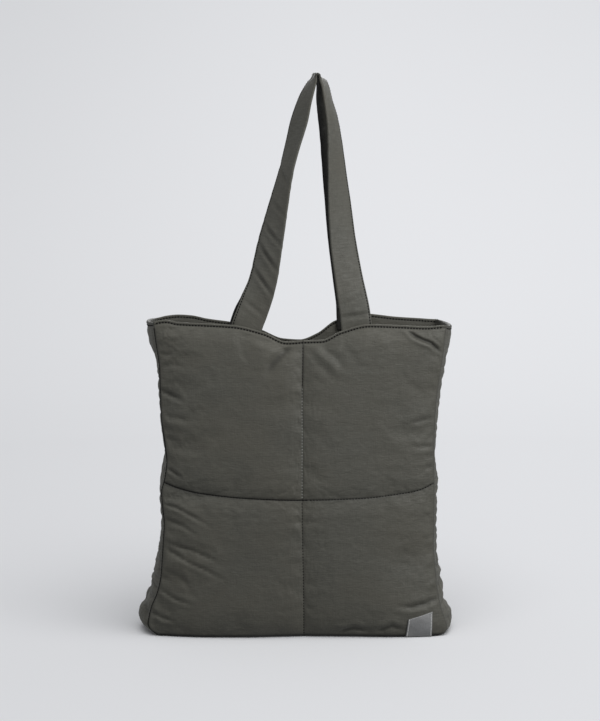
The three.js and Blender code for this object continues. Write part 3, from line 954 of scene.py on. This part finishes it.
# where every point of the strip is, and how far its ribs stand out
def gussetSheet(count, columns):
    at, rows, outward = gussetStrip(count)
    across, height, standOut = (rows[:, k][:, None] for k in range(3))
    share = np.linspace(-1, 1, columns + 1)[None, :]
    middle = 1 - share ** 2
    beside = ease(2 * mm, 14 * mm, height)  # 0 under the base
    for word, along in (("left", at), ("right", at[-1] - at)):
        front, centre, back = gusset["rimRise"][word]
        rimRise = centre * middle + (front * (share < 0) + back * (share > 0)) * share ** 2
        height = height + rimRise * mm * (1 - ease(0, 60 * mm, along))[:, None]
    amount = np.where(across < 0, *(readTable(gusset["gathers"], "height", height, word) for word in ("left", "right")))

    def varied(seed, size, length, change, start, step):
        return size * softNoise(at[:, None] / (length * mm) + 0 * share, change * share + start, seed + step)

    size, gather = 0, 0
    for sign, seed in ((-1, 5), (1, 15)):  # ribs run in from each seam and fade towards the other
        wander = sum(varied(seed, *row) for row in gusset["wander"])
        phase = 2 * pi * (at[:, None] / gusset["gatherPitch"] + wander)
        reach = amount * (0.75 + varied(seed, *gusset["uneven"])) * ease(-0.75, 0.55, sign * share)
        size = size + reach
        gather = gather + reach * np.abs(np.sin(phase / 2)) ** 0.85  # round ridges, sharp hollows between
    edgeFade = 0.35 + 0.65 * ease(0, 0.25, 1 - np.abs(share))
    edgeFade = edgeFade * beside * ease(0, 16 * mm, bag["rimHeight"] - height)
    size, gather = size * edgeFade, gather * edgeFade
    return {
        "across": across, "height": height, "outward": outward, "share": share, "middle": middle, "beside": beside,
        "depth": share * (bag["halfDepth"] + gusset["seamLap"]) - footStep(across, height) * np.maximum(-share, 0),
        "rise": standOut * middle + gather - 0.6 * size,
        "wall": gusset["thickness"] + (gusset["basePad"] + (gusset["pad"] - gusset["basePad"]) * beside) * middle,
        "hollow": np.clip(1 - gather / (size + 0.1 * mm), 0, 1),
        "at": at[:, None], "toRim": np.minimum(at, at[-1] - at)[:, None],
    }


def gussetAt(place, lift):
    x, z = (place[word] + place["outward"][:, [k]] * lift for k, word in enumerate(("across", "height")))
    return toFrame(x, np.broadcast_to(place["depth"], x.shape), z)


def gussetWrinkles(squares):
    coarse = gussetSheet(squares + 1, gusset["columns"])
    shape = coarse["rise"].shape
    wrinkles = np.zeros(shape)
    jitter = np.random.default_rng(31).normal(0, gusset["jitter"], shape) * coarse["middle"]
    start = gussetAt(coarse, coarse["rise"] + jitter * coarse["beside"])
    pins = np.zeros(shape, bool)
    pins[[0, 1, -2, -1]] = True
    pins[:, [0, -1]] = True
    pins |= np.broadcast_to(coarse["height"] < 2 * mm, shape)
    slack = np.broadcast_to(0.2 + 0.8 * coarse["beside"], shape)
    step = settleCloth("gussetSettling", start, pins, slack, gusset["cloth"]) - start
    outward = coarse["outward"]
    moved = step[..., 0] * outward[:, :1] + step[..., 2] * outward[:, 1:]
    wrinkles = wrinklesIn("gusset", moved, gusset["cloth"])
    return gusset["cloth"]["gain"] * finer(wrinkles)


def buildGusset():
    squares = int(round(gussetStrip(9)[0][-1] / gusset["spacing"]))
    wrinkles = gussetWrinkles(squares)
    place = gussetSheet(2 * squares + 1, 2 * gusset["columns"])
    rise, share, beside, toRim = place["rise"], place["share"], place["beside"], place["toRim"]
    lift = rise + (wrinkles * np.minimum(1, 2.5 * place["middle"]) + hemDitch(toRim)) * beside
    outer, inner = gussetAt(place, lift), gussetAt(place, rise - place["wall"])
    outer[..., 2] = np.maximum(outer[..., 2], -bag["hangHeight"])
    worn = 0.3 * ease(0.5 * mm, 2.2 * mm, lift - rise)
    # painted shade: the hollows, the seams and the rim lie in their own shadow, the seams deeper on the left
    shade = np.where(place["across"] < 0, 0.7, 0.35) * np.exp(-(1 - np.abs(share)) * bag["halfDepth"] / (0.9 * mm))
    shade = np.maximum(shade, 0.5 * place["hollow"] ** 4 * beside)
    shade = np.maximum(shade, 0.5 * (1 - ease(2 * mm, 6 * mm, toRim)))
    normals = gridNormals(outer)
    for word, row in (("left", 1), ("right", -2)):
        stitchRow(
            word + "_gusset_rim_stitches", outer[row, 2:-2], normals[row, 2:-2],
            "dark", "padded_nylon", *gusset["stitch"],
        )
    looks = (np.stack(np.broadcast_arrays(place["depth"], place["at"]), -1), worn, shade)
    looks = (carriedOut(carriedOut(values, True), False) for values in looks)
    piece = shell("gusset_gathered", *rolledEdge(*rolledEdge(outer, inner, True), False), *looks)
    dress(piece, paddedNylon)
    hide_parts("gusset")
    print(f"gusset: gathered strip of {len(piece.data.polygons)} faces")


buildGusset()


# folded straps; rise is above the rim's level, turn is about the strap's own length
strap = {
    "width": 36.5 * mm,
    "edge": 2.2 * mm,
    "crown": 0.5 * mm,
    "peg": 2.6 * mm,
    "tail": 20 * mm,
    "tailLean": 0.7,  # share of the leg's slant that its sewn tail keeps
    "rootGap": 1.2 * mm,
    "spacing": 40 * mm,
    "rows": 2 * mm,
    # places across it, from the inner edge to the outer one
    "face": np.concatenate([
        [-1, -0.993, -0.975, -0.95, -0.92], np.linspace(-0.87, 0.76, 15),
        [0.8, 0.84, 0.87, 0.9, 0.935, 0.96, 0.98, 0.994, 1],
    ]),
    "stitchShare": 0.9,
    "ditch": (0.45 * mm, 1.3 * mm),  # depth and half width
    "innerFold": (0.35 * mm, -0.9, 0.12),  # height, place across and half width
    "stitch": (3.4 * mm, 2.1 * mm, 0.7 * mm),  # pitch, length and radius
    # rise, across, turn in degrees, shift of the back handle
    "leftLeg": [
        (0, -63.5, 3, 3), (14, -58, 7, 4.5), (49, -46, 26, 5), (96, -36.2, 38, 3.5), (144, -25.7, 55.5, 2.5),
        (168, -20.2, 63, 2.2), (191, -14.4, 66.5, 2), (238, -1.6, 61, 2), (262, 5, 67, 1), (284, 14, 80, 0),
    ],
    "rightLeg": [
        (0, 65, 3, 1), (14, 63.3, 7, 2), (49, 57.2, 21, 2.5), (96, 50.2, 31, 2.2), (144, 46, 42, 0.3),
        (191, 42.4, 55, -2.5), (238, 38.5, 66, -5.5), (262, 33.5, 73, -5), (284, 28, 77, -1),
    ],
    "foldAngles": (162, 126, 90, 54, 18),
    "foldShare": 0.65,  # how wide the pinched top fold is for its height
    # slow and quick waves: height and length in mm, lean, change across, start, step of the seed
    "waves": ((0.5, 38, 0, 1.3, 5, 0), (0.22, 11, 1.2, 2.5, 9, 1)),
    # rise at the outer and the inner edge of each crease, half width, depth
    "leftCreases": [
        (118, 92, 2.1, 2.0), (95, 62, 2.1, 2.5), (64, 36, 2.1, 2.3), (146, 126, 2.2, 1.1),
        (186, 160, 2.6, 1.5), (24, 12, 2.4, 0.8),
    ],
    "rightCreases": [(9, 8, 2.4, 1.6), (30, 22, 3, 0.5), (240, 215, 3, 0.6), (262, 248, 2.6, 0.8)],
    # painted shade: in the creases, between the handles, at the top fold and along the stitches
    "creaseShade": 0.35,
    "betweenShade": 0.92,
    "foldShade": 0.55,
    "stitchShade": 0.3,
    "worn": 0.2,
}


def strapRows(back):
    rimZ = bag["rimHeight"] - bag["hangHeight"]
    thickness = strap["edge"] + 2 * strap["crown"]
    hangAway = strap["spacing"] / 2

    def legRows(leg):
        share = leg[0][1] * mm / bag["outline"]["right"][-1]
        root = bag["halfDepth"] + bag["outline"]["bow"][-1] * (1 - share ** 2) - thickness / 2 - strap["rootGap"]
        rows = []
        for rise, across, turn, shift in leg:
            x = bag["middle"] + (across + (shift if back else 0)) * mm
            rows.append((x, -(root + (hangAway - root) * rise * mm / -rimZ), rimZ + rise * mm, turn))
        lean = strap["tailLean"] * (rows[0][0] - rows[1][0]) / (rows[1][2] - rows[0][2])
        tail = (rows[0][0] + lean * strap["tail"], rows[0][1], rimZ - strap["tail"], rows[0][3])
        return [tail] + rows

    radius = strap["peg"] + thickness / 2
    turns = [(strap["foldShare"] * cos(radians(a)), sin(radians(a))) for a in strap["foldAngles"]]
    fold = [(radius * c, -hangAway, radius * s - strap["peg"], 90) for c, s in turns]
    return np.array(legRows(strap["leftLeg"]) + fold + legRows(strap["rightLeg"])[::-1])


# a smooth curve through rows, with even steps
def smoothPath(rows, step):
    places = rows[:, :3]
    ends = np.concatenate([2 * places[:1] - places[1:2], places, 2 * places[-1:] - places[-2:-1]])
    gaps = np.linalg.norm(np.diff(ends, axis=0), axis=1) ** 0.5
    t = np.linspace(0, 1, 40, endpoint=False)[:, None]
    dense, turns = [], []
    turnTable = {"row": np.arange(len(rows)) * 1.0, "turn": rows[:, 3]}
    for i in range(len(places) - 1):
        p0, p1, p2, p3 = ends[i:i + 4]
        d0, d1, d2 = gaps[i:i + 3]
        m1 = ((p1 - p0) / d0 - (p2 - p0) / (d0 + d1) + (p2 - p1) / d1) * d1
        m2 = ((p2 - p1) / d1 - (p3 - p1) / (d1 + d2) + (p3 - p2) / d2) * d1
        between = (2 * t**3 - 3 * t**2 + 1) * p1 + (3 * t**2 - 2 * t**3) * p2
        dense.append(between + (t**3 - 2 * t**2 + t) * m1 + (t**3 - t**2) * m2)
        turns.append(readTable(turnTable, "row", i + t[:, 0], "turn"))
    dense, turns = np.concatenate(dense + [places[-1:]]), np.concatenate(turns + [rows[-1:, 3]])
    travel = travelAlong(dense)
    at = np.linspace(0, travel[-1], int(round(travel[-1] / step)) + 1)
    return at, readPath(at, travel, dense), np.radians(np.interp(at, travel, turns))


# how far the creases of both legs move a strap out
def strapCreases(rise, onLeft):
    face, half = strap["face"], strap["width"] / 2
    creased = np.zeros((len(rise), len(face)))
    for word, leg in (("left", onLeft), ("right", ~onLeft)):
        for outerRise, innerRise, reach, depth in strap[word + "Creases"]:
            middleRise, lean = (outerRise + innerRise) / 2 * mm, (outerRise - innerRise) / 2 * mm
            aside = (rise - middleRise - lean * face[None]) * half / np.hypot(half, lean)
            w = reach * mm
            shoulders = 0.55 * bump(aside - 2 * w, 1.3 * w) + 0.45 * bump(aside + 2 * w, 1.3 * w)
            creased += leg * depth * mm * (shoulders - bump(aside, w)) * (0.55 + 0.45 * np.cos(pi * 0.8 * face))
    return creased


def buildHandle(side, seed):
    name, back = side + "_handle", side == "back"
    at, path, turn = smoothPath(strapRows(back), strap["rows"])
    along = unit(np.gradient(path, axis=0))
    outerEdge = unit(np.stack([-along[:, 2], 0 * at, along[:, 0]], -1))
    inwards = np.cross(outerEdge, along)
    turn = turn[:, None]
    across = np.cos(turn) * outerEdge + np.sin(turn) * inwards
    normal = np.sin(turn) * outerEdge - np.cos(turn) * inwards

    # round edges, a stitched ditch near the outer edge and a soft fold along the inner one
    half, face, height = strap["width"] / 2, strap["face"], path[:, 2:]
    roundFrom = 1 - strap["edge"] / 2 / half
    rounding = np.sqrt(np.clip(1 - (np.maximum(np.abs(face) - roundFrom, 0) / (1 - roundFrom)) ** 2, 0.04, 1))
    body = strap["edge"] / 2 + strap["crown"] * (1 - face ** 2)
    (ditch, ditchReach), (fold, foldAt, foldReach) = strap["ditch"], strap["innerFold"]
    body = body - ditch * bump((face - strap["stitchShare"]) * half, ditchReach) + fold * bump(face - foldAt, foldReach)
    thick = body * rounding
    rise = height - (bag["rimHeight"] - bag["hangHeight"])
    creased = strapCreases(rise, (at < at[-1] / 2)[:, None])
    wave = creased
    for size, length, lean, change, start, step in strap["waves"]:
        run = at[:, None] / (length * mm) + lean * face
        wave = wave + size * mm * softNoise(run, change * face[None] + start, seed + step)
    wave = wave * ease(0, 12 * mm, np.minimum(at, at[-1] - at))[:, None] * (1 - 0.8 * bump(height, 25 * mm))
    spine = path[:, None, :] + across[:, None, :] * (face * half)[None, :, None]
    over = spine + normal[:, None, :] * (wave + thick)[..., None]
    under = spine + normal[:, None, :] * (wave - thick)[..., None]
    if back:
        over, under, normal = (points * (1, -1, 1) for points in (over, under, normal))
    loops = np.concatenate([over, under[:, ::-1]], axis=1)

    ids = gridIds(loops)
    faces = [gridFaces(np.concatenate([ids, ids[:, :1]], 1))]
    for row, flip in ((0, 1), (-1, -1)):  # the sewn ends
        low, high = ids[row, :len(face)], ids[row, len(face):][::-1]
        faces.append(np.stack([low[1:], low[:-1], high[:-1], high[1:]], -1)[:, ::flip])
    around = np.concatenate([face, face[::-1]])[None, :]
    cloth = np.stack(np.broadcast_arrays(around * half, at[:, None]), -1)
    worn = np.broadcast_to(strap["worn"] * ease(0.93, 1.0, np.abs(around)), ids.shape)
    # painted shade in the creases, along the stitches and in the pinched top fold
    sunk = strap["creaseShade"] * ease(0.5 * mm, 1.9 * mm, -creased)
    hidden = sunk
    if back:  # painted shade: the front handle keeps the light off the cloth behind it, and the rim off the strap's roots
        innerEdge = (1 - ease(-0.9, 0.3, face))[None]
        between = strap["betweenShade"] * np.maximum(innerEdge, 1 - ease(20 * mm, 50 * mm, rise))
        hidden = np.maximum(sunk, between)
    shade = np.concatenate([sunk, hidden[:, ::-1]], axis=1)
    shade = np.maximum(shade, strap["stitchShade"] * bump((around - strap["stitchShare"]) * half, 0.9 * mm))
    shade = np.maximum(shade, strap["foldShade"] * bump(height, 6 * mm))
    looks = (cloth.reshape(-1, 2), worn.ravel(), shade.ravel())
    piece = newPiece(name + "_strap", loops.reshape(-1, 3), np.concatenate(faces), *looks)
    dress(piece, strapNylon)
    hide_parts(name)
    stitchAt = int(np.argmin(np.abs(face - strap["stitchShare"])))
    for word, sheet, sign in (("outer", over, 1), ("inner", under, -1)):
        stitchRow(
            f"{name}_{word}_stitches", sheet[4:-4, stitchAt], sign * normal[4:-4],
            "dark", "strap_nylon", *strap["stitch"],
        )
    print(f"{name}: strap {at[-1]:.3f} m long, {len(piece.data.polygons)} faces")


buildHandle("front", 41)
buildHandle("back", 53)


# bare woven label at the foot of the front panel
label = {
    "footAcross": (125.2 * mm, 156.7 * mm),  # its inner and outer corner
    "topAcross": (127.9 * mm, 157.2 * mm),
    "foot": 0.9 * mm,
    "innerTop": 23.2 * mm,
    "outerTop": 31.3 * mm,
    "flat": (0.0305, 0.0263),
    "area": 0.0304 * 0.0263,
    "lift": 0.5 * mm,
    "thickness": 0.9 * mm,
    "pillow": 0.35 * mm,
    "crumple": 0.25 * mm,
    "selvedge": 0.3 * mm,
    "stitch": (1.9 * mm, 1.7 * mm, 0.5 * mm),  # pitch, length and radius
    "squares": 22,
    "onPanel": (110 * mm, 50 * mm),  # the corner of the panel that it lies on starts here
}


def buildLabel():
    n = label["squares"]
    s, t = np.meshgrid(np.linspace(0, 1, n + 1), np.linspace(0, 1, n + 1))
    inside, outside = (a + (b - a) * t for a, b in zip(label["footAcross"], label["topAcross"]))
    across = inside + (outside - inside) * s
    top = label["innerTop"] + (label["outerTop"] - label["innerTop"]) * s
    height = label["foot"] + (top - label["foot"]) * t
    # the panel's face under each point, from its nearest points
    near = (frontPlace["across"] > label["onPanel"][0]) & (frontPlace["height"] < label["onPanel"][1])
    x, z, y = frontPlace["across"][near], frontPlace["height"][near], -frontOuter[..., 1][near]
    gap = (across[..., None] - x) ** 2 + (height[..., None] - z) ** 2
    weight = np.exp(-gap / (3 * mm) ** 2)
    lower = (weight * y).sum(-1) / weight.sum(-1) + label["lift"]
    edge = np.minimum.reduce([s, 1 - s, t, 1 - t])
    upper = lower + label["thickness"] + label["pillow"] * ease(0, 0.2, edge)
    upper = upper + label["crumple"] * softNoise(4 * s, 3 * t, 77)
    upper = upper + label["selvedge"] * bump(np.minimum(s, 1 - s) - 0.02, 0.03)
    outer, inner = toFrame(across, -upper, height), toFrame(across, -lower, height)
    cloth = np.stack([across, height], -1)
    piece = shell("label_woven", outer, inner, cloth, 0.9 * (1 - ease(0, 0.06, edge)), 0 * edge)
    dress(piece, wovenLabel)
    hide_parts("label")
    normals = gridNormals(outer)
    for word, column in (("inner", 1), ("outer", n - 1)):
        stitchRow(
            f"label_{word}_stitches", outer[:, column], normals[:, column],
            "label", "woven_label", *label["stitch"],
        )
    print("label: bare woven label sewn to the front panel")


buildLabel()
